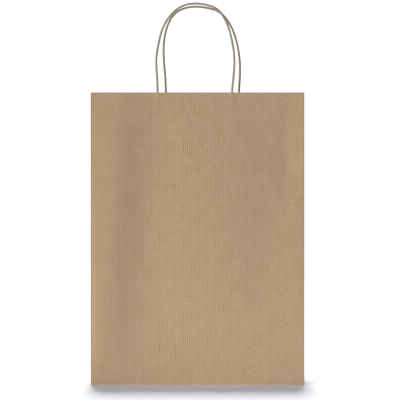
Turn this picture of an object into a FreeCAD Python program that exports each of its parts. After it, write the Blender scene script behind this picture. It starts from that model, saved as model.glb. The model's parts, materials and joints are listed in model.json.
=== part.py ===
import FreeCAD, Part
import math
import os

from FreeCAD import Vector

# A paper gift bag with two twisted-cord handles: one sheet of ribbed kraft folded into a tube with
# side gussets, closed below by a folded and glued block bottom. Each handle is a paper cord whose
# two ends are glued between a backing strip and a cover strip, on the inside of its panel.
# Every face of the sheet between two creases is a solid of its own, so that the bag can fold flat.
#
# Frame: +Z up, the base on Z = 0, the front panel towards -Y, the middle of the base at the origin.
# Lengths are in millimetres and angles in degrees.

# The bag
bag_width = 270.0
bag_height = 370.0
gusset_depth = 120.0          # the gusset's full width, measured flat
paper = 0.15                  # thickness of the kraft sheet and of the handle strips
open_lean = 5.0               # each gusset half leans this far inwards when the bag stands open
folded_lean = 84.0            # and this far when the bag is folded flat
play = 0.1                    # air between faces that move past each other

# The block bottom and the seam
bottom_overlap = 20.0         # how far the front and rear bottom flaps overlap
bottom_layers = 4             # sheets of paper on top of each other in the base
seam_width = 15.0             # the glued flap that closes the tube

# The handles
cord_diameter = 3.0
cord_buried = 36.0            # length of cord glued between the strips
hinge_rise = 2.5              # the cord bends this far above the top edge
backing_size = (156.0, 42.0)  # width and height
cover_size = (150.0, 38.0)
patch_drop = 5.0              # from the bag's top edge down to the backing strip
front_handle_x = -3.6         # the middle of each handle, from the middle of the bag
rear_handle_x = 6.1

# Each loop's route, seen from the front: x from the handle's middle, z above the bag's top edge
foot_z = hinge_rise
front_route = [
    (-46.8, foot_z), (-47.6, 20.0), (-49.2, 42.0), (-45.6, 64.0), (-40.0, 85.0),
    (-26.5, 104.0), (-10.0, 113.2), (11.0, 113.0), (29.5, 107.0), (40.5, 90.0),
    (47.0, 68.0), (50.6, 44.0), (49.3, 21.0), (47.0, foot_z),
]
rear_route = [
    (-47.2, foot_z), (-48.0, 22.0), (-50.3, 46.0), (-50.2, 68.0), (-45.5, 90.0),
    (-34.5, 107.0), (-16.5, 113.6), (3.0, 112.8), (22.5, 107.5), (36.0, 91.5),
    (44.0, 71.0), (48.5, 47.0), (49.0, 24.0), (47.2, foot_z),
]

# Worked out from the above
half_width = bag_width / 2
gusset_half = gusset_depth / 2
mouth_half = gusset_half * math.cos(math.radians(open_lean))
crease_inset = gusset_half * math.sin(math.radians(open_lean))
panel_inner = mouth_half - paper / 2
fold_room = paper / math.cos(math.radians(folded_lean)) + play
floor_top = bottom_layers * paper
cord_radius = cord_diameter / 2
cord_depth = panel_inner - paper - cord_radius
leg_top = bag_height + 3 * play


def prism(outline, low, high):
    """A flat outline, a list of (x, y), raised from one height to another."""
    corners = [Vector(x, y, low) for x, y in outline]
    face = Part.Face(Part.makePolygon(corners + corners[:1]))
    return face.extrude(Vector(0, 0, high - low))


def block(x_span, y_span, z_span):
    """A box from its spans along X, Y and Z."""
    (x0, x1), (y0, y1), (z0, z1) = (sorted(span) for span in (x_span, y_span, z_span))
    return Part.makeBox(x1 - x0, y1 - y0, z1 - z0, Vector(x0, y0, z0))


def wide_panel(end):
    """The front panel (end -1) or the back panel (end 1)."""
    faces = (end * panel_inner, end * (panel_inner + paper))
    return block((-half_width, half_width), faces, (0, bag_height))


def gusset_panel(side, end):
    """Half a gusset: side -1 is left and 1 right; end -1 joins the front panel and 1 the back."""
    corner = Vector(side * half_width, end * mouth_half, 0)
    crease = Vector(side * (half_width - crease_inset), 0, 0)
    along = (crease - corner).normalize()
    across = Vector(-along.y, along.x, 0) * (paper / 2)
    near = corner + along * fold_room
    far = crease - along * fold_room
    outline = [near + across, far + across, far - across, near - across]
    return prism([(p.x, p.y) for p in outline], floor_top + play, bag_height)


def seam_flap():
    """The glue flap of the left gusset, stuck to the inside of the back panel."""
    start = -half_width + 3 * fold_room
    faces = (panel_inner - paper, panel_inner)
    return block((start, start + seam_width), faces, (floor_top + play, bag_height))


def bottom_long_flap(end, layer):
    """The bottom flap of the front (end -1) or back panel (end 1), with its corners folded at 45 degrees."""
    edge = panel_inner - (play if end < 0 else 0)
    length = edge + bottom_overlap / 2
    outline = [
        (-half_width, end * edge),
        (half_width, end * edge),
        (half_width - length, end * (edge - length)),
        (length - half_width, end * (edge - length)),
    ]
    return prism(outline, layer * paper, (layer + 1) * paper)


def bottom_ears(end, layer):
    """The two corners folded back under a long flap, each a triangle that stops at the overlap."""
    edge = panel_inner - (play if end < 0 else 0)
    stop = bottom_overlap / 2 + play
    reach = gusset_half + bottom_overlap / 2
    ears = []
    for side in (-1, 1):
        outline = [
            (side * half_width, end * edge),
            (side * (half_width - reach), end * edge),
            (side * (half_width - reach), end * stop),
            (side * (half_width - edge + stop), end * stop),
        ]
        ears.append(prism(outline, layer * paper, (layer + 1) * paper))
    return Part.makeCompound(ears)


def bottom_side_flap(side, layer):
    """The gusset's own bottom flap, folded in first."""
    edge = panel_inner - play
    reach = gusset_half + bottom_overlap / 2
    x_span = (side * (half_width - reach), side * half_width)
    return block(x_span, (-edge, edge), (layer * paper, (layer + 1) * paper))


def patch_backing(end, middle):
    """The strip glued to the panel, behind the cord's ends."""
    width, height = backing_size
    top = bag_height - patch_drop
    faces = (end * (panel_inner - paper), end * panel_inner)
    return block((middle - width / 2, middle + width / 2), faces, (top - height, top))


def leg_places(route, middle):
    """The x of the two legs of a handle."""
    return [middle + route[0][0], middle + route[-1][0]]


def patch_cover(end, middle, route):
    """The strip over the cord's ends: flat on the backing, and raised in a channel over each leg."""
    width, height = cover_size
    margin = (backing_size[1] - height) / 2
    low = bag_height - patch_drop - margin - height
    high = low + height
    base = panel_inner - paper
    inside = cord_radius + play / 2
    outside = inside + paper
    strip = block((middle - width / 2, middle + width / 2), (end * (base - paper), end * base), (low, high))
    hollows = []
    for x in leg_places(route, middle):
        for radius, made in ((outside, "raised"), (inside, "hollow")):
            tube = Part.makeCylinder(radius, height, Vector(x, end * cord_depth, low))
            walls = block((x - radius, x + radius), (end * cord_depth, end * base), (low, high))
            channel = tube.fuse(walls).common(
                block((x - radius, x + radius), (0, end * base), (low, high))
            )
            if made == "raised":
                strip = strip.fuse(channel)
            else:
                hollows.append(channel)
    for hollow in hollows:
        strip = strip.cut(hollow)
    return strip.removeSplitter()


def cord_legs(end, middle, route):
    """The two straight ends of a cord, from inside the patch to just under the bend."""
    low = bag_height - patch_drop - cord_buried
    legs = [
        Part.makeCylinder(cord_radius, leg_top - low, Vector(x, end * cord_depth, low))
        for x in leg_places(route, middle)
    ]
    return Part.makeCompound(legs)


def rounded_path(points):
    """Straight runs joined by tangent arcs, each arc as large as its two runs allow."""
    edges, radii = [], []
    at = points[0]
    for before, corner, after in zip(points, points[1:], points[2:]):
        coming, going = corner - before, after - corner
        turn = coming.getAngle(going)
        reach = 0.45 * min(coming.Length, going.Length)
        radius = reach / math.tan(turn / 2)
        start = corner - coming.normalize() * reach
        end = corner + going.normalize() * reach
        inwards = (start + end) * 0.5 - corner
        to_centre = math.hypot(radius, reach)
        middle = corner + inwards.normalize() * (to_centre - radius)
        edges.append(Part.LineSegment(at, start).toShape())
        edges.append(Part.Arc(start, middle, end).toShape())
        radii.append(radius)
        at = end
    edges.append(Part.LineSegment(at, points[-1]).toShape())
    return Part.Wire(edges), radii


def cord_loop(end, middle, route, name):
    """The free loop of a handle. It turns about the centres of its two ball-shaped feet."""
    points = [Vector(middle + x, end * cord_depth, bag_height + z) for x, z in route]
    path, radii = rounded_path(points)
    ring = Part.Wire(Part.makeCircle(cord_radius, points[0], points[1] - points[0]))
    tube = path.makePipeShell([ring], True, False)
    expected = math.pi * cord_radius**2 * path.Length
    print(f"{name}: length {path.Length:.1f} mm, radii {[round(r) for r in radii]} mm,"
          f" volume {tube.Volume:.0f} of {expected:.0f} mm3")
    feet = [Part.makeSphere(cord_radius, foot) for foot in (points[0], points[-1])]
    return tube.fuse(feet)


front = -1
rear = 1
left = -1
right = 1

parts = {
    "front_panel": wide_panel(front),
    "back_panel": wide_panel(rear),
    "left_gusset_front_half": gusset_panel(left, front),
    "left_gusset_rear_half": gusset_panel(left, rear),
    "right_gusset_front_half": gusset_panel(right, front),
    "right_gusset_rear_half": gusset_panel(right, rear),
    "side_seam_flap": seam_flap(),
    "bottom_front_flap": bottom_long_flap(front, layer=0),
    "bottom_front_ears": bottom_ears(front, layer=1),
    "bottom_rear_flap": bottom_long_flap(rear, layer=1),
    "bottom_rear_ears": bottom_ears(rear, layer=2),
    "bottom_left_flap": bottom_side_flap(left, layer=3),
    "bottom_right_flap": bottom_side_flap(right, layer=3),
}
for name, end, middle, route in (
    ("front", front, front_handle_x, front_route),
    ("rear", rear, rear_handle_x, rear_route),
):
    parts[f"{name}_handle_backing"] = patch_backing(end, middle)
    parts[f"{name}_handle_cover"] = patch_cover(end, middle, route)
    parts[f"{name}_handle_cord_ends"] = cord_legs(end, middle, route)
    parts[f"{name}_handle_loop"] = cord_loop(end, middle, route, f"{name} handle loop")

os.makedirs("parts", exist_ok=True)
for name, shape in parts.items():
    if not shape.isValid():
        raise ValueError(f"{name} isn't a valid shape")
    shape.exportStep(f"parts/{name}.step")
print(f"{len(parts)} nodes, mouth {2 * mouth_half:.2f} mm deep, gusset creases {crease_inset:.2f} mm in,"
      f" hinge room {fold_room:.2f} mm")
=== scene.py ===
import json
import math

import bpy
import numpy as np
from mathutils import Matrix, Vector, noise


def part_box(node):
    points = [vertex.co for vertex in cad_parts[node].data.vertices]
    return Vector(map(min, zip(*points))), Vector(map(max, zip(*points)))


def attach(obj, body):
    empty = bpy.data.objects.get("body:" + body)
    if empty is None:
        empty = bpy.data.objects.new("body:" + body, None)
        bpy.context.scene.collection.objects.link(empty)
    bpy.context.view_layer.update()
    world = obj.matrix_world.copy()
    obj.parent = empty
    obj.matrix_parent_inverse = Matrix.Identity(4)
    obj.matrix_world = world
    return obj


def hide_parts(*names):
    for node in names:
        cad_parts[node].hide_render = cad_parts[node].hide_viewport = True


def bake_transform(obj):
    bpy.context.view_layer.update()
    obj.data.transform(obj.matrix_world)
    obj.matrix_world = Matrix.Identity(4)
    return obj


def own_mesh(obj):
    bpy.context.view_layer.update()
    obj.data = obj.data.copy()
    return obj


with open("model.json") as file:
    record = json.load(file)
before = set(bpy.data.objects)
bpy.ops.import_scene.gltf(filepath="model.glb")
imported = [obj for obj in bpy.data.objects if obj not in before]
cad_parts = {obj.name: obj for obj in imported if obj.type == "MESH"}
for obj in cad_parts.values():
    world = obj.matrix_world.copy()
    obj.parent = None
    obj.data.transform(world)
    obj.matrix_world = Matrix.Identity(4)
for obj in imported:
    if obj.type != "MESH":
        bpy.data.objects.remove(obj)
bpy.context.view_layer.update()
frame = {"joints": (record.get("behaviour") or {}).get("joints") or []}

# A ribbed kraft paper carrier bag with twisted cord handles, standing open. z is up and the front faces -y.
# Lengths are in metres, or in millimetres times mm, and the angles that a user would set are in degrees.
# Sizes and places come from the frame, and the dictionaries hold what a user would change.

mm = 0.001

front, back = -1, 1          # the two wide panels, by the sign of their y
left, right = -1, 1          # the two gussets, by the sign of their x
ends = {front: "front", back: "rear"}
sides = {left: "left", right: "right"}
endBody = {front: "front", back: "back"}

hinge = {joint["name"]: joint for joint in frame["joints"]}
panelLow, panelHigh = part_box("front_panel")
halfWidth = panelHigh.x
bagHeight = panelHigh.z
paper = panelHigh.y - panelLow.y
mouthHalf = hinge["fold"]["pos_m"][1]
creaseX = hinge["right_crease"]["pos_m"][0]
creaseInset = halfWidth - creaseX              # the gussets' centre folds stand in by this much

hingeZ = hinge["front_handle_bend"]["pos_m"][2]
legXs, cordYs = {}, {}                         # where the glued ends of each handle's cord stand
for end, name in ends.items():
    legsLow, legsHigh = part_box(f"{name}_handle_cord_ends")
    cordRadius = (legsHigh.y - legsLow.y) / 2
    legXs[end] = (legsLow.x + cordRadius, legsHigh.x - cordRadius)
    cordYs[end] = (legsLow.y + legsHigh.y) / 2
cordFoot = legsLow.z                           # both cords start at this height

cardLit = bpy.data.collections.new("litByTheCards")      # the bag's pieces, all that the studio's cards light


def smooth(value):
    value = np.clip(value, 0, 1)
    return value * value * (3 - 2 * value)


def bell(distance, width):
    return np.exp(-((distance / width) ** 2) / 2)


def softNoise(x, y, seed, size):
    # a smooth random surface between about -1 and 1, with bumps of the given size
    x, y = np.broadcast_arrays(x, y)
    spots = np.stack([x.ravel(), y.ravel()], axis=1) / size
    values = [noise.noise(Vector((a, b, seed))) for a, b in spots]
    return np.reshape(values, x.shape)


def grid(across, up):
    return np.meshgrid(np.asarray(across), np.asarray(up))


def makeMesh(name, points, faces, uvs, sharp=()):
    mesh = bpy.data.meshes.new(name)
    mesh.from_pydata(points, [], faces)
    mesh.polygons.foreach_set("use_smooth", [True] * len(mesh.polygons))
    layer = mesh.uv_layers.new(name="sheet")
    corners = np.zeros(len(mesh.loops), int)
    mesh.loops.foreach_get("vertex_index", corners)
    layer.data.foreach_set("uv", np.asarray(uvs, np.float32)[corners].ravel())
    if len(sharp):
        marked = {tuple(sorted(edge)) for edge in sharp}
        for edge in mesh.edges:
            edge.use_edge_sharp = tuple(sorted(edge.vertices)) in marked
    mesh.validate()
    made = bpy.data.objects.new(name, mesh)
    bpy.context.scene.collection.objects.link(made)
    return made


def sheet(name, points, uvs, thick=paper):
    # a sheet of paper of real thickness around a grid of points, rows by columns
    rows, columns = points.shape[:2]
    across = np.gradient(points, axis=1)
    along = np.gradient(points, axis=0)
    normals = np.cross(across, along)
    normals /= np.linalg.norm(normals, axis=2, keepdims=True)
    outer = (points + normals * thick / 2).reshape(-1, 3)
    inner = (points - normals * thick / 2).reshape(-1, 3)
    count = rows * columns
    index = np.arange(count).reshape(rows, columns)
    a, b, c, d = index[:-1, :-1], index[:-1, 1:], index[1:, 1:], index[1:, :-1]
    quads = np.stack([a, b, c, d], axis=-1).reshape(-1, 4)
    rim = np.concatenate([index[0, :-1], index[:-1, -1], index[-1, :0:-1], index[:0:-1, 0]])
    nextRim = np.roll(rim, -1)
    rimQuads = np.stack([rim, rim + count, nextRim + count, nextRim], axis=-1)
    faces = np.concatenate([quads, quads[:, ::-1] + count, rimQuads]).tolist()
    sharp = [(int(i), int(j)) for i, j in zip(rim, nextRim)]
    sharp += [(i + count, j + count) for i, j in sharp]
    flat = uvs.reshape(-1, 2)
    return makeMesh(name, np.concatenate([outer, inner]).tolist(), faces, np.concatenate([flat, flat]), sharp)


def finish(piece, material):
    piece.data.materials.append(material)
    cardLit.objects.link(piece)


# As the bag folds flat, its bottom swings up about a line across the back, half the bag's depth above the
# floor. The line shows as a shallow dent in the back panel and in the gussets' rear halves.
bottomCreases = {
    "back": {"deep": 0.0011, "reach": 0.055, "sharpness": 1.6},
    "gusset": {"deep": 0.0007, "reach": 0.030, "sharpness": 1.5},
    "fade": 0.040,           # nearer than this to a back corner the dent gets shallower
}


def bottomCrease(kind, z, fromCorner):
    # how far the paper is dented in, at height z and that far from the nearest back corner
    crease = bottomCreases[kind]
    near = np.clip(1 - np.abs(z - mouthHalf) / crease["reach"], 0, 1) ** crease["sharpness"]
    return crease["deep"] * near * np.clip(fromCorner / bottomCreases["fade"], 0, 1)


panelShape = {
    # each soft fold runs up the panel from xLow to xHigh: width is how far it spreads, out is how far it
    # stands out, and reach gives the two heights that it shows between
    "softFolds": {
        front: [
            {"xLow": -0.122, "xHigh": -0.093, "width": 0.018, "out": 0.0034, "reach": (0.00, 0.48)},
            {"xLow": -0.070, "xHigh": -0.058, "width": 0.028, "out": -0.0028, "reach": (0.02, 0.45)},
            {"xLow": 0.032, "xHigh": 0.028, "width": 0.045, "out": 0.0020, "reach": (0.02, 0.39)},
            {"xLow": 0.085, "xHigh": 0.090, "width": 0.020, "out": -0.0012, "reach": (0.05, 0.45)},
            {"xLow": 0.106, "xHigh": 0.116, "width": 0.011, "out": -0.0018, "reach": (0.20, 0.55)},
        ],
        back: [
            {"xLow": -0.070, "xHigh": -0.085, "width": 0.030, "out": 0.0022, "reach": (0.08, 0.45)},
            {"xLow": 0.020, "xHigh": -0.005, "width": 0.050, "out": -0.0022, "reach": (0.05, 0.45)},
            {"xLow": 0.105, "xHigh": 0.085, "width": 0.018, "out": 0.0016, "reach": (0.08, 0.42)},
        ],
    },
    "foldGrow": 0.08,        # the height over which a soft fold comes up at its foot
    "foldFade": 0.10,        # and the height over which it dies away at its top
    "edgeHold": 0.007,       # how near the corner folds the paper is held straight
    "footHold": 0.030,       # and how near the bottom fold
    "patchCalm": 0.45,       # the handle patch stiffens the paper, so folds shrink to this share there
    "patchFrom": 0.305,      # the height where that starts
    "patchEase": 0.040,      # and the height over which it comes in
    "rumple": 0.00022,       # small unevenness everywhere
    "rumpleSize": 0.034,
    "rumpleSeed": 3.1,
    "cordMark": 0.0004,      # how far the glued cord ends press through
    "markWidth": 0.0018,
    "markLead": 0.004,       # how far below the cord's end the mark starts
    "markGrow": 0.036,       # and the height over which it comes up
    "columns": 184,
    "rows": 150,
    "footBand": 0.010,       # the lowest stretch, which has rows of its own
    "footRows": 9,
}


def panelPush(end, x, z):
    # how far the panel stands out from flat, at places x, z on it
    x, z = np.broadcast_arrays(np.asarray(x, float), np.asarray(z, float))
    push = np.zeros(x.shape)
    for fold in panelShape["softFolds"][end]:
        line = fold["xLow"] + (fold["xHigh"] - fold["xLow"]) * z / bagHeight
        foot, top = fold["reach"]
        inReach = smooth((z - foot) / panelShape["foldGrow"]) * smooth((top - z) / panelShape["foldFade"])
        push += fold["out"] * bell(x - line, fold["width"]) * inReach
    push += panelShape["rumple"] * softNoise(x, z, panelShape["rumpleSeed"] * end, panelShape["rumpleSize"])
    stiff = smooth((z - panelShape["patchFrom"]) / panelShape["patchEase"])
    push *= 1 - (1 - panelShape["patchCalm"]) * stiff
    fromCorner = halfWidth - np.abs(x)
    if end == back:
        push -= bottomCrease("back", z, fromCorner)
    push *= smooth(fromCorner / panelShape["edgeHold"])
    push *= smooth(z / panelShape["footHold"])
    mark = smooth((z - cordFoot + panelShape["markLead"]) / panelShape["markGrow"])
    for legX in legXs[end]:
        push += panelShape["cordMark"] * bell(x - legX, panelShape["markWidth"]) * mark
    return push


def panelPoint(end, x, z, inside=0.0):
    # a point on a wide panel's middle surface, or that far inside it
    y = end * (mouthHalf + panelPush(end, x, z) - inside)
    return np.stack([x, y, z], axis=-1)


def wideSheet(end):
    footBand = panelShape["footBand"]
    foot = np.linspace(0, footBand, panelShape["footRows"])
    wall = np.linspace(footBand, bagHeight, panelShape["rows"])
    across = np.linspace(-halfWidth, halfWidth, panelShape["columns"])
    x, z = grid(across, np.concatenate([foot[:-1], wall]))
    points = panelPoint(end, x, z)
    uvs = np.stack([x * -end, z], axis=-1)
    if end == back:
        points, uvs = points[:, ::-1], uvs[:, ::-1]
    piece = sheet(f"{ends[end]}_panel_sheet", points, uvs)
    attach(piece, endBody[end])
    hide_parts("front_panel" if end == front else "back_panel")
    return piece


gussetShape = {
    "foldRadius": 0.0012,    # the centre fold's own radius
    "bend": 0.0015,          # half the width of paper that bends there when the bag is folded
    "belly": 0.0009,         # each half bows out by this much between its folds
    "bellyRise": 0.05,       # the height over which it does, above the slanted folds
    "creaseEase": 0.006,     # how far from the centre fold the bottom's fold line is whole
    "rumple": 0.00025,       # small unevenness
    "rumpleSize": 0.030,
    "rumpleSeed": 7.7,
    "columns": 44,           # in each half
    "foldBand": 0.003,       # half the width of the centre fold, which has columns of its own
    "foldColumns": 9,
    "rows": 110,
    "footBand": 0.075,       # the slanted folds are below this height, and so are the closer rows
    "footRows": 50,
}


def gussetSheet(side):
    # both halves of a gusset as one sheet, with its centre fold and the slanted folds near the bottom
    foldBand, footBand = gussetShape["foldBand"], gussetShape["footBand"]
    half = np.linspace(foldBand, mouthHalf, gussetShape["columns"])
    fold = np.linspace(-foldBand, foldBand, gussetShape["foldColumns"])
    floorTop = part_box("left_gusset_rear_half")[0].z
    foot = np.linspace(floorTop, footBand, gussetShape["footRows"])
    wall = np.linspace(footBand, bagHeight, gussetShape["rows"])
    y, z = grid(np.concatenate([-half[::-1], fold[1:-1], half]), np.concatenate([foot[:-1], wall]))

    radius = gussetShape["foldRadius"]
    fromFold = np.sqrt(y * y + radius ** 2) - radius
    inset = creaseInset * np.minimum(1 - fromFold / (mouthHalf - radius), z / mouthHalf)
    between = np.sin(np.pi * np.abs(y) / mouthHalf) ** 2
    above = smooth((z - (mouthHalf - np.abs(y))) / gussetShape["bellyRise"])
    inset -= gussetShape["belly"] * between * above
    uneven = softNoise(y, z, gussetShape["rumpleSeed"] * side, gussetShape["rumpleSize"])
    inset += gussetShape["rumple"] * uneven * between
    inset += bottomCrease("gusset", z, mouthHalf - y) * smooth(y / gussetShape["creaseEase"])
    points = np.stack([side * (halfWidth - inset), y, z], axis=-1)
    uvs = np.stack([side * (halfWidth + mouthHalf + y), z], axis=-1)
    if side == left:
        points, uvs = points[:, ::-1], uvs[:, ::-1]
    name = sides[side]
    piece = sheet(f"{name}_gusset_sheet", points, uvs)
    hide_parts(f"{name}_gusset_front_half", f"{name}_gusset_rear_half")
    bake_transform(piece)
    return piece


seamShape = {
    "layer": 1.15,           # how far its middle lies inside the panel's, in thicknesses of paper
    "topGap": 0.0006,        # it stops this far below the bag's edge
    "wander": 0.0005,        # how far its cut edge wanders
    "wanderSize": 0.05,
    "wanderSeed": 5.2,
    "columns": 9,
    "rows": 90,
}


def seamStrip():
    # the glue flap inside the back panel
    low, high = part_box("side_seam_flap")
    up = np.linspace(low.z, bagHeight - seamShape["topGap"], seamShape["rows"])
    share, z = grid(np.linspace(0, 1, seamShape["columns"]), up)
    edge = high.x + seamShape["wander"] * softNoise(z, 0, seamShape["wanderSeed"], seamShape["wanderSize"])
    x = low.x + (edge - low.x) * share
    points = panelPoint(back, x, z, inside=paper * seamShape["layer"])[:, ::-1]
    uvs = np.stack([x, z], axis=-1)[:, ::-1]
    piece = sheet("side_seam_strip", points, uvs)
    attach(piece, "back")
    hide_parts("side_seam_flap")
    return piece


bottomShape = {
    "thickness": 0.9,        # of the paper's, so that the layers stay clear of each other
    "columns": 60,
    "rows": 30,
}


def bottomFlap(name, outline, level):
    # a flap as a grid; outline is (near left, near right, far right, far left), seen from above
    nearLeft, nearRight, farRight, farLeft = [np.array(corner, float) for corner in outline]
    u, v = grid(np.linspace(0, 1, bottomShape["columns"]), np.linspace(0, 1, bottomShape["rows"]))
    u, v = u[..., None], v[..., None]
    flat = (nearLeft * (1 - u) + nearRight * u) * (1 - v) + (farLeft * (1 - u) + farRight * u) * v
    z = np.full(flat.shape[:2], level + paper / 2)
    piece = sheet(name, np.dstack([flat, z]), flat, paper * bottomShape["thickness"])
    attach(piece, "back")
    return piece


def swapped(outline):
    # an outline with its left and right corners swapped, which turns its sheet's outer side up
    nearLeft, nearRight, farRight, farLeft = outline
    return [nearRight, nearLeft, farLeft, farRight]


def bottomPieces():
    made = []
    for end, name in ends.items():
        low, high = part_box(f"bottom_{name}_flap")
        edge = end * (mouthHalf - paper / 2)
        stop = high.y if end == front else low.y
        length = abs(stop - edge)
        outline = [
            (-halfWidth, edge), (halfWidth, edge),
            (halfWidth - length, stop), (length - halfWidth, stop),
        ]
        if end == back:
            outline = swapped(outline)
        piece = bottomFlap(f"bottom_{name}_sheet", outline, low.z)
        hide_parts(f"bottom_{name}_flap")
        made.append(piece)

        earLow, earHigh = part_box(f"bottom_{name}_ears")
        earStop = earHigh.y if end == front else earLow.y
        for side, sideName in sides.items():
            outer = side * halfWidth
            inner = outer - side * (length - paper)
            slantEnd = outer - side * abs(earStop - edge)
            outline = [(outer, edge), (inner, edge), (inner, earStop), (slantEnd, earStop)]
            if side == end:
                outline = swapped(outline)
            ear = bottomFlap(f"bottom_{name}_ear_{sideName}", outline, earLow.z)
            made.append(ear)
            if side == left:
                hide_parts(f"bottom_{name}_ears")
    for sideName in sides.values():
        low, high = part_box(f"bottom_{sideName}_flap")
        outline = [(low.x, low.y), (high.x, low.y), (high.x, high.y), (low.x, high.y)]
        piece = bottomFlap(f"bottom_{sideName}_sheet", outline, low.z)
        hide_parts(f"bottom_{sideName}_flap")
        made.append(piece)
    return made


patchShape = {
    "layer": 1.1,            # how far each strip's middle lies inside the last one's, in thicknesses of paper
    "humpWidth": 0.0026,     # how far the cover strip tents out beside a cord
    "humpRoom": 0.0002,      # and how far it stands off the cord
    "curl": 0.0005,          # its free edges lift a little where the glue stops short
    "curlWidth": 0.004,
    "curlEven": 0.6,         # the share of that lift that is the same everywhere
    "curlSize": 0.02,        # the rest comes and goes over this length
    "curlSeed": 9.0,
    "columns": 90,
    "rows": 40,
    "legBand": 0.0065,       # each side of a cord, where the cover has columns of its own
    "legColumns": 27,
}


def patchColumns(low, high, legs):
    columns = list(np.linspace(low, high, patchShape["columns"]))
    for leg in legs:
        near, far = leg - patchShape["legBand"], leg + patchShape["legBand"]
        columns += list(np.linspace(near, far, patchShape["legColumns"]))
    return np.unique(np.round(columns, 6))     # to a micron, so that no two are the same


def patchStrips(end):
    name = ends[end]
    made = []
    for layer, part in enumerate(("backing", "cover"), start=1):
        low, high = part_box(f"{name}_handle_{part}")
        legs = legXs[end] if part == "cover" else ()
        x, z = grid(patchColumns(low.x, high.x, legs), np.linspace(low.z, high.z, patchShape["rows"]))
        inside = np.full(x.shape, layer * paper * patchShape["layer"])
        for leg in legs:
            tent = np.exp(-(((x - leg) / patchShape["humpWidth"]) ** 4))
            inside += (2 * cordRadius + patchShape["humpRoom"]) * tent
        if part == "cover":
            toEdge = (high.x - low.x) / 2 - np.abs(x - (low.x + high.x) / 2)
            uneven = softNoise(x, z, patchShape["curlSeed"] * end, patchShape["curlSize"])
            lift = patchShape["curlEven"] + (1 - patchShape["curlEven"]) * uneven
            inside += patchShape["curl"] * smooth(1 - toEdge / patchShape["curlWidth"]) * lift
        points = panelPoint(end, x, z, inside)
        uvs = np.stack([z, x], axis=-1)
        if end == back:
            points, uvs = points[:, ::-1], uvs[:, ::-1]
        piece = sheet(f"{name}_patch_{part}_strip", points, uvs)
        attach(piece, endBody[end])
        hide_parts(f"{name}_handle_{part}")
        made.append(piece)
    return made


footZ = hingeZ - bagHeight
cordShape = {
    # each loop's route, seen from the front: x from the handle's middle, z above the bag's top edge
    "routes": {
        front: [
            (-0.0468, footZ), (-0.0476, 0.020), (-0.0492, 0.042), (-0.0456, 0.064), (-0.0400, 0.085),
            (-0.0265, 0.104), (-0.0100, 0.1132), (0.0110, 0.1130), (0.0295, 0.107), (0.0405, 0.090),
            (0.0470, 0.068), (0.0506, 0.044), (0.0493, 0.021), (0.0470, footZ),
        ],
        back: [
            (-0.0472, footZ), (-0.0480, 0.022), (-0.0503, 0.046), (-0.0502, 0.068), (-0.0455, 0.090),
            (-0.0345, 0.107), (-0.0165, 0.1136), (0.0030, 0.1128), (0.0225, 0.1075), (0.0360, 0.0915),
            (0.0440, 0.071), (0.0485, 0.047), (0.0490, 0.024), (0.0472, footZ),
        ],
    },
    "sag": 0.0009,           # how far the top of the loop has settled
    "footGap": 0.001,        # from the lowest place it could reach up to its cut end
    "bend": 0.009,           # half the length of cord that bends when the handle leans
    "plies": 3,
    "pitch": 0.0095,         # one full turn of the twist
    "groove": 0.15,          # how deep the lines between the plies are, as a share of the radius
    # the twist runs ahead and behind, and the cord swells and shrinks, in slow waves along it: how much, in
    # radians or as a share of the radius, how many radians to the metre, and how far the two cords differ
    "wander": [(0.5, 95, 1), (0.3, 41, 0)],
    "slack": [(0.03, 160, 2), (0.02, 67, 0)],
    "around": 24,            # mesh points round it
    "step": 0.0006,          # and the distance between them along it
    "resolution": 24,        # points that the route's curve is read at, for each point of the route
}


def smoothRoute(points):
    # the route as one smooth line, read from a NURBS curve through Blender's own evaluation
    curve = bpy.data.curves.new("route", "CURVE")
    curve.dimensions = "3D"
    spline = curve.splines.new("NURBS")
    spline.points.add(len(points) - 1)
    for spot, point in zip(spline.points, points):
        spot.co = (*point, 1)
    spline.order_u = 3
    spline.use_endpoint_u = True
    spline.resolution_u = cordShape["resolution"]
    holder = bpy.data.objects.new("route", curve)
    bpy.context.scene.collection.objects.link(holder)
    bpy.context.view_layer.update()
    mesh = bpy.data.meshes.new_from_object(holder.evaluated_get(bpy.context.evaluated_depsgraph_get()))
    line = np.array([vertex.co for vertex in mesh.vertices])
    bpy.data.objects.remove(holder)
    bpy.data.curves.remove(curve)
    bpy.data.meshes.remove(mesh)
    return line


def evenly(line, step):
    # the same line as points a step apart, and how far along it each is
    gaps = np.linalg.norm(np.diff(line, axis=0), axis=1)
    apart = gaps > step / 1000             # two points in one place count as one
    line = line[np.concatenate([[True], apart])]
    lengths = np.concatenate([[0], np.cumsum(gaps[apart])])
    wanted = np.linspace(0, lengths[-1], int(round(lengths[-1] / step)) + 1)
    return np.stack([np.interp(wanted, lengths, line[:, axis]) for axis in range(3)], axis=1), wanted


def slowWaves(at, waves, end):
    return sum(size * np.sin(at * pace + shift * end) for size, pace, shift in waves)


def cordLine(end):
    # the middle of a cord from one glued end round the loop to the other, and how far along it each point is
    route = cordShape["routes"][end]
    firstLeg, lastLeg = legXs[end]
    middle = (firstLeg + lastLeg) / 2 - (route[0][0] + route[-1][0]) / 2
    y = cordYs[end]
    crown = max(z for x, z in route)
    loop = [(middle + x, y, bagHeight + z - cordShape["sag"] * z / crown) for x, z in route]
    foot = cordFoot + cordShape["footGap"]
    rising, falling = [[(x, y, foot), (x, y, (foot + hingeZ) / 2)] for x in legXs[end]]
    line, at = evenly(smoothRoute(rising + loop + falling[::-1]), cordShape["step"])
    # the panel stands a little off flat, and the cord follows it up each leg
    share = np.clip((line[:, 0] - firstLeg) / (lastLeg - firstLeg), 0, 1)
    atFirst, atLast = [panelPush(end, leg, np.minimum(line[:, 2], bagHeight)) for leg in legXs[end]]
    line[:, 1] += end * (atFirst * (1 - share) + atLast * share)
    return line, at


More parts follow.
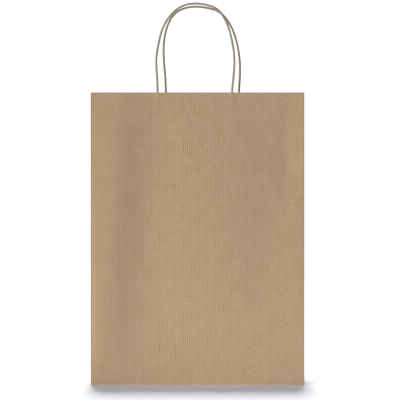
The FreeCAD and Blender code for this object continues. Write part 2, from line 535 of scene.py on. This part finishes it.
def twistedCord(end):
    # glued end, loop and the other glued end as one cord
    line, at = cordLine(end)
    tangents = np.gradient(line, axis=0)
    tangents /= np.linalg.norm(tangents, axis=1, keepdims=True)
    acrosses = np.cross(tangents, (0, 1, 0))
    acrosses /= np.linalg.norm(acrosses, axis=1, keepdims=True)
    ups = np.cross(acrosses, tangents)
    around = cordShape["around"]
    turn = np.arange(around) / around * math.tau
    twist = at / cordShape["pitch"] * math.tau + slowWaves(at, cordShape["wander"], end)
    angle = turn[None, :] + twist[:, None]
    lobes = np.abs(np.cos(turn * cordShape["plies"] / 2))
    slack = 1 + slowWaves(at, cordShape["slack"], end)
    radius = cordRadius * (1 - cordShape["groove"] * (1 - lobes))[None, :] * slack[:, None]
    points = (line[:, None, :]
              + acrosses[:, None, :] * (np.cos(angle) * radius)[..., None]
              + ups[:, None, :] * (np.sin(angle) * radius)[..., None])
    index = np.arange(len(line) * around).reshape(-1, around)
    following = np.roll(index, -1, axis=1)
    quads = np.stack([index[:-1], following[:-1], following[1:], index[1:]], axis=-1)
    faces = quads.reshape(-1, 4).tolist() + [index[0, ::-1].tolist(), index[-1].tolist()]
    uvs = np.stack(np.broadcast_arrays(turn[None, :] / math.tau, at[:, None]), axis=-1).reshape(-1, 2)
    name = ends[end]
    piece = makeMesh(f"{name}_handle_twisted_cord", points.reshape(-1, 3).tolist(), faces, uvs)
    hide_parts(f"{name}_handle_loop", f"{name}_handle_cord_ends")
    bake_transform(piece)
    print(f"{name} handle cord: {at[-1] / mm:.0f} mm of twisted cord")
    return piece


def srgb(text):
    # a hex colour as linear red, green, blue and alpha
    values = [int(text[i:i + 2], 16) / 255 for i in (1, 3, 5)]
    return (*[v / 12.92 if v <= 0.04045 else ((v + 0.055) / 1.055) ** 2.4 for v in values], 1.0)


def addNode(tree, kind, inputs=None, **settings):
    made = tree.nodes.new(kind)
    for name, value in settings.items():
        setattr(made, name, value)
    for name, value in (inputs or {}).items():
        if isinstance(value, bpy.types.NodeSocket):
            tree.links.new(value, made.inputs[name])
        else:
            made.inputs[name].default_value = value
    return made


def newMaterial(name, roughness, ior):
    material = bpy.data.materials.new(name)
    material.use_nodes = True
    tree = material.node_tree
    shader = tree.nodes["Principled BSDF"]
    shader.inputs["Roughness"].default_value = roughness
    shader.inputs["IOR"].default_value = ior
    return material, tree, shader


paperIor = 1.47              # cellulose


def kraftPulp(tree, spot, look):
    # what all kraft paper shows: clouds where the fibres bunched, and single darker fibres lying one way
    clouds = addNode(tree, "ShaderNodeTexNoise",
                     {"Vector": spot, "Scale": 1 / look["cloudSize"], "Detail": 6.0, "Roughness": 0.6})
    cloudColour = addNode(tree, "ShaderNodeMix",
                          {"Factor": clouds.outputs["Fac"],
                           6: srgb(look["cloudDark"]), 7: srgb(look["cloudLight"])},
                          data_type="RGBA")
    thick, long = look["fibreSize"]
    stretched = addNode(tree, "ShaderNodeMapping", {"Vector": spot, "Scale": (1 / thick, 1 / long, 1.0)})
    fibres = addNode(tree, "ShaderNodeTexNoise",
                     {"Vector": stretched.outputs["Vector"], "Scale": 1.0, "Detail": 3.0, "Roughness": 0.65})
    faint, full = look["fibreRange"]
    speck = addNode(tree, "ShaderNodeMapRange",
                    {"Value": fibres.outputs["Fac"], "From Min": faint, "From Max": full,
                     "To Max": look["fibreShow"]})
    return cloudColour.outputs[2], fibres.outputs["Fac"], speck.outputs["Result"]


kraftLook = {
    "ribHollowShade": "#7f6648",    # the ribs' hollows, painted darker as their shade
    "ribCrestHighlight": "#9b8260",   # the ribs' crests: unbleached fibre, painted lighter as their highlight
    "cloudDark": "#8b7154",
    "cloudLight": "#9a8263",
    "fibre": "#6a5339",
    "ribPitch": 2.54 * mm,
    "ribPhase": 0.08,        # shifts the ribs sideways, in radians of a rib
    "ribWaver": 0.3,         # how far the ribs run off straight
    "ribDepth": 0.05 * mm,
    "ribShow": (0.15, 1.0),  # how much of the ribs' painted shade and highlight shows, at least and at most
    "driftSize": (11.1 * mm, 22.2 * mm),       # that comes and goes over this far across, and up
    "driftRange": (0.36, 0.66),                # and is least and most at these values of its noise
    "cloudSize": 16.67 * mm,
    # real fibres are 0.03 mm thick, and these are drawn about ten times as coarse so that they show
    "fibreSize": (0.769 * mm, 2.632 * mm),
    "fibreRange": (0.48, 0.74),                # the noise values at which a fibre starts, and is whole
    "fibreShow": 0.75,
    "fibreDepth": 0.05 * mm,
    "foldLine": 1.6 * mm,    # half the width of the painted shade along each fold
    "foldShade": 0.5,       # and how far that painted shade takes the colour towards the fibres' darker one
    "roughness": 0.78,
}


def paintedFoldShade(tree, spot, look):
    # painted shade along the upright folds round the gussets and the slanted ones at their foot, where the
    # paper turns from the light
    parts = addNode(tree, "ShaderNodeSeparateXYZ", {"Vector": spot})
    across = addNode(tree, "ShaderNodeMath", {0: parts.outputs["X"]}, operation="ABSOLUTE")
    past = addNode(tree, "ShaderNodeMath", {0: across.outputs[0], 1: halfWidth}, operation="SUBTRACT")
    upright = addNode(tree, "ShaderNodeMath", {0: past.outputs[0], 1: mouthHalf / 2}, operation="PINGPONG")
    fromMiddle = addNode(tree, "ShaderNodeMath", {0: past.outputs[0], 1: mouthHalf}, operation="SUBTRACT")
    toEdge = addNode(tree, "ShaderNodeMath", {0: fromMiddle.outputs[0]}, operation="ABSOLUTE")
    rise = addNode(tree, "ShaderNodeMath", {0: parts.outputs["Y"], 1: toEdge.outputs[0]}, operation="ADD")
    offLine = addNode(tree, "ShaderNodeMath", {0: rise.outputs[0], 1: mouthHalf}, operation="SUBTRACT")
    slanted = addNode(tree, "ShaderNodeMath", {0: offLine.outputs[0]}, operation="ABSOLUTE")
    nearest = addNode(tree, "ShaderNodeMath", {0: upright.outputs[0], 1: slanted.outputs[0]},
                      operation="MINIMUM")
    line = addNode(tree, "ShaderNodeMapRange",
                   {"Value": nearest.outputs[0], "From Max": look["foldLine"],
                    "To Min": look["foldShade"], "To Max": 0.0})
    inGusset = addNode(tree, "ShaderNodeMath", {0: past.outputs[0], 1: -look["foldLine"]},
                       operation="GREATER_THAN")
    shown = addNode(tree, "ShaderNodeMath", {0: line.outputs["Result"], 1: inGusset.outputs[0]},
                    operation="MULTIPLY")
    return shown.outputs[0]


def ribbedKraft():
    # unbleached kraft paper, ribbed on the machine: matt brown with fine upright ribs whose shade and
    # highlight are painted into the colour, cloudy where the fibres bunched, and with short darker fibres
    # lying mostly along the ribs
    look = kraftLook
    material, tree, shader = newMaterial("ribbedKraftPaper", look["roughness"], paperIor)
    spot = addNode(tree, "ShaderNodeUVMap", uv_map="sheet").outputs["UV"]
    cloudColour, fibres, speck = kraftPulp(tree, spot, look)
    bandRepeat = math.tau / 20     # the wave texture's bands are this far apart at a scale of 1
    ribs = addNode(tree, "ShaderNodeTexWave",
                   {"Vector": spot, "Scale": bandRepeat / look["ribPitch"], "Distortion": look["ribWaver"],
                    "Detail": 1.0, "Detail Scale": 0.1, "Phase Offset": look["ribPhase"]},
                   wave_type="BANDS", bands_direction="X", wave_profile="SIN")
    # painted shade and highlight: the ribs' hollows are coloured darker and their crests lighter, beside
    # their real shallow bump
    ribColour = addNode(tree, "ShaderNodeMix",
                        {"Factor": ribs.outputs["Fac"], 6: srgb(look["ribHollowShade"]), 7: srgb(look["ribCrestHighlight"])},
                        data_type="RGBA")
    # the ribs' painted shade and highlight show more in some places than in others
    wide, tall = look["driftSize"]
    drifting = addNode(tree, "ShaderNodeMapping", {"Vector": spot, "Scale": (1 / wide, 1 / tall, 1.0)})
    uneven = addNode(tree, "ShaderNodeTexNoise",
                     {"Vector": drifting.outputs["Vector"], "Scale": 1.0, "Detail": 2.0, "Roughness": 0.6})
    ribShow = addNode(tree, "ShaderNodeMapRange",
                      {"Value": uneven.outputs["Fac"],
                       "From Min": look["driftRange"][0], "From Max": look["driftRange"][1],
                       "To Min": look["ribShow"][0], "To Max": look["ribShow"][1]})
    paperColour = addNode(tree, "ShaderNodeMix",
                          {"Factor": ribShow.outputs["Result"], 6: cloudColour, 7: ribColour.outputs[2]},
                          data_type="RGBA")
    colour = addNode(tree, "ShaderNodeMix",
                     {"Factor": speck, 6: paperColour.outputs[2], 7: srgb(look["fibre"])},
                     data_type="RGBA")
    # painted shade: the colour darkens along each fold line
    folded = addNode(tree, "ShaderNodeMix",
                     {"Factor": paintedFoldShade(tree, spot, look), 6: colour.outputs[2], 7: srgb(look["fibre"])},
                     data_type="RGBA")
    ribBump = addNode(tree, "ShaderNodeBump",
                      {"Height": ribs.outputs["Fac"], "Strength": 0.8, "Distance": look["ribDepth"]})
    fibreBump = addNode(tree, "ShaderNodeBump",
                        {"Height": fibres, "Strength": 0.6, "Distance": look["fibreDepth"],
                         "Normal": ribBump.outputs["Normal"]})
    tree.links.new(folded.outputs[2], shader.inputs["Base Color"])
    tree.links.new(fibreBump.outputs["Normal"], shader.inputs["Normal"])
    return material


patchLook = {
    "cloudDark": "#8c6f4f",
    "cloudLight": "#9a7d5f",
    "fibre": "#6d5439",
    "cloudSize": 11.1 * mm,
    "fibreSize": (0.667 * mm, 2.86 * mm),      # drawn as coarse as the ribbed paper's, so that they show
    "fibreRange": (0.48, 0.75),
    "fibreShow": 0.6,
    "fibreDepth": 0.05 * mm,
    "roughness": 0.66,
}


def smoothKraft():
    # plain machine-finished kraft, unribbed: a little smoother and redder than the bag's, with its fibres
    # lying along the strip
    look = patchLook
    material, tree, shader = newMaterial("smoothKraftPaper", look["roughness"], paperIor)
    spot = addNode(tree, "ShaderNodeUVMap", uv_map="sheet").outputs["UV"]
    cloudColour, fibres, speck = kraftPulp(tree, spot, look)
    colour = addNode(tree, "ShaderNodeMix",
                     {"Factor": speck, 6: cloudColour, 7: srgb(look["fibre"])}, data_type="RGBA")
    bump = addNode(tree, "ShaderNodeBump",
                   {"Height": fibres, "Strength": 0.5, "Distance": look["fibreDepth"]})
    tree.links.new(colour.outputs[2], shader.inputs["Base Color"])
    tree.links.new(bump.outputs["Normal"], shader.inputs["Normal"])
    return material


cordLook = {
    "crest": "#8b826d",
    # the grooves' colour is painted shade, the darkness that falls between the plies
    "groove": "#5e5546",
    "fibre": "#786f5c",
    "grooveShadeWidth": 0.6,      # how far up a ply's side the painted groove shade reaches, as a share of its height
    "wrinkleSize": (0.348 * mm, 1.282 * mm),   # round the cord, and along it
    "wrinkleDepth": 0.12 * mm,
    "roughness": 0.8,
}


def twistedPaper():
    # paper ribbon twisted hard into plies and the plies into a cord: matt, with painted shade darkening it
    # towards the grooves between the plies, and fine slanting wrinkles on each ply
    look = cordLook
    material, tree, shader = newMaterial("twistedPaperCord", look["roughness"], paperIor)
    spot = addNode(tree, "ShaderNodeUVMap", uv_map="sheet").outputs["UV"]
    parts = addNode(tree, "ShaderNodeSeparateXYZ", {"Vector": spot})
    plyTurn = addNode(tree, "ShaderNodeMath", {0: parts.outputs["X"], 1: math.pi * cordShape["plies"]},
                      operation="MULTIPLY")
    plySide = addNode(tree, "ShaderNodeMath", {0: plyTurn.outputs[0]}, operation="COSINE")
    plyCrest = addNode(tree, "ShaderNodeMath", {0: plySide.outputs[0]}, operation="ABSOLUTE")
    # painted shade: each ply's sides darken towards the grooves between the plies
    shade = addNode(tree, "ShaderNodeMapRange",
                    {"Value": plyCrest.outputs[0], "From Min": 0.0, "From Max": look["grooveShadeWidth"]},
                    interpolation_type="SMOOTHSTEP")
    wide, long = look["wrinkleSize"]
    wrapped = addNode(tree, "ShaderNodeMapping",
                      {"Vector": spot, "Scale": (math.tau * cordRadius / wide, 1 / long, 1.0)})
    wrinkles = addNode(tree, "ShaderNodeTexNoise",
                       {"Vector": wrapped.outputs["Vector"], "Scale": 1.0, "Detail": 4.0, "Roughness": 0.65})
    plyColour = addNode(tree, "ShaderNodeMix",
                        {"Factor": wrinkles.outputs["Fac"], 6: srgb(look["fibre"]), 7: srgb(look["crest"])},
                        data_type="RGBA")
    colour = addNode(tree, "ShaderNodeMix",
                     {"Factor": shade.outputs["Result"], 6: srgb(look["groove"]), 7: plyColour.outputs[2]},
                     data_type="RGBA")
    bump = addNode(tree, "ShaderNodeBump",
                   {"Height": wrinkles.outputs["Fac"], "Strength": 0.7, "Distance": look["wrinkleDepth"]})
    tree.links.new(colour.outputs[2], shader.inputs["Base Color"])
    tree.links.new(bump.outputs["Normal"], shader.inputs["Normal"])
    return material


studio = {
    "cameraFrom": (0.0031, -4.56, 0.320),
    "aimHeight": 0.2340,     # the height on the front panel that sits in the middle of the view
    "lens": 320.4,
    "floorColour": "#fbfbfc",
    "floorReach": 30,
    "skyColour": "#d0dfff",
    "skylineColour": "#ffffff",
    "sky": 0.262,            # how bright the room is overhead
    "skyline": 1.12,         # and near the horizon
    "skyRise": (0.10, 0.35), # between these heights of a direction, the skyline turns to sky
    # a soft light's place is given round the bag from its front and up from the floor, and spread is how wide
    # it is, all in degrees
    "keyLight": {"around": -66, "up": 2, "spread": 24, "strength": 5.2, "tint": "#fffaf4"},
    "topLight": {"around": -179, "spread": 7, "strength": 0.48, "tint": "#ffffff"},
    "topRow": {"lowest": 51, "highest": 73, "lamps": 6},     # how far up the row of top lights goes
    # white cards that throw light at the front of the bag and leave the floor alone
    "cards": {
        "bounceCard": {"place": (0.02, -0.27, 0.008), "width": 0.30, "height": 0.012, "power": 0.32},
        "fillCard": {"place": (0.02, -1.40, 0.450), "width": 0.40, "height": 0.300, "power": 6.5},
    },
    "cardTint": "#eef4ff",
}


def softLight(name, around, up, spread, strength, tint):
    light = bpy.data.lights.new(name, "SUN")
    light.angle = math.radians(spread)
    light.energy = strength
    light.color = srgb(tint)[:3]
    made = bpy.data.objects.new(name, light)
    turn, rise = math.radians(around), math.radians(up)
    direction = Vector((math.sin(turn) * math.cos(rise), -math.cos(turn) * math.cos(rise), math.sin(rise)))
    made.rotation_euler = direction.to_track_quat("Z", "Y").to_euler()
    bpy.context.scene.collection.objects.link(made)


def lightCard(name, place, width, height, power):
    light = bpy.data.lights.new(name, "AREA")
    light.shape = "RECTANGLE"
    light.size, light.size_y = width, height
    light.energy = power
    light.color = srgb(studio["cardTint"])[:3]
    made = bpy.data.objects.new(name, light)
    made.location = place
    made.rotation_euler = (math.radians(90), 0, 0)      # upright, facing the bag
    made.visible_camera = False
    made.light_linking.receiver_collection = cardLit
    bpy.context.scene.collection.objects.link(made)


def paleRoom():
    world = bpy.data.worlds.new("paleRoom")
    world.use_nodes = True
    bpy.context.scene.world = world
    tree = world.node_tree
    background = tree.nodes["Background"]
    direction = addNode(tree, "ShaderNodeTexCoord").outputs["Generated"]
    parts = addNode(tree, "ShaderNodeSeparateXYZ", {"Vector": direction})
    height = addNode(tree, "ShaderNodeMath", {0: parts.outputs["Z"]}, operation="ABSOLUTE")
    skylineTop, skyFrom = studio["skyRise"]
    rise = addNode(tree, "ShaderNodeMapRange",
                   {"Value": height.outputs[0], "From Min": skylineTop, "From Max": skyFrom},
                   interpolation_type="SMOOTHSTEP")
    level = addNode(tree, "ShaderNodeMapRange",
                    {"Value": rise.outputs["Result"], "To Min": studio["skyline"], "To Max": studio["sky"]})
    colour = addNode(tree, "ShaderNodeMix",
                     {"Factor": rise.outputs["Result"],
                      6: srgb(studio["skylineColour"]), 7: srgb(studio["skyColour"])},
                     data_type="RGBA")
    tree.links.new(colour.outputs[2], background.inputs["Color"])
    tree.links.new(level.outputs["Result"], background.inputs["Strength"])


def paleFloor():
    material, _, shader = newMaterial("paleFloorPaint", roughness=0.9, ior=1.45)
    shader.inputs["Base Color"].default_value = srgb(studio["floorColour"])
    reach = studio["floorReach"]
    mesh = bpy.data.meshes.new("floor")
    corners = [(-reach, -reach, 0), (reach, -reach, 0), (reach, reach, 0), (-reach, reach, 0)]
    mesh.from_pydata(corners, [], [(0, 1, 2, 3)])
    mesh.materials.append(material)
    floor = bpy.data.objects.new("floor", mesh)
    bpy.context.scene.collection.objects.link(floor)


def makeStudio():
    scene = bpy.context.scene
    scene.view_settings.view_transform = "Standard"
    paleRoom()
    paleFloor()
    softLight("keyLight", **studio["keyLight"])
    row = studio["topRow"]
    for number, up in enumerate(np.linspace(row["lowest"], row["highest"], row["lamps"])):
        softLight(f"topLight{number}", up=up, **studio["topLight"])
    for name, card in studio["cards"].items():
        lightCard(name, **card)

    lens = bpy.data.cameras.new("camera")
    lens.lens = studio["lens"]
    camera = bpy.data.objects.new("camera", lens)
    camera.location = studio["cameraFrom"]
    aim = Vector((camera.location.x, -mouthHalf, studio["aimHeight"]))
    camera.rotation_euler = (aim - camera.location).to_track_quat("-Z", "Y").to_euler()
    scene.collection.objects.link(camera)
    scene.camera = camera


makeStudio()
print("studio and camera are in place")

kraft = ribbedKraft()
stripKraft = smoothKraft()
cordPaper = twistedPaper()
print("three papers mixed: ribbed kraft, smooth kraft and twisted cord")

walls = [wideSheet(front), wideSheet(back), gussetSheet(left), gussetSheet(right), seamStrip()]
bottom = bottomPieces()
for piece in walls + bottom:
    finish(piece, kraft)
for piece in bottom:
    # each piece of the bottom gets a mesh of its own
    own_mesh(piece)
print(f"{len(walls + bottom)} faces of the folded sheet are in place")

for end in (front, back):
    for piece in patchStrips(end):
        finish(piece, stripKraft)
    finish(twistedCord(end), cordPaper)
print("both handles are glued in")
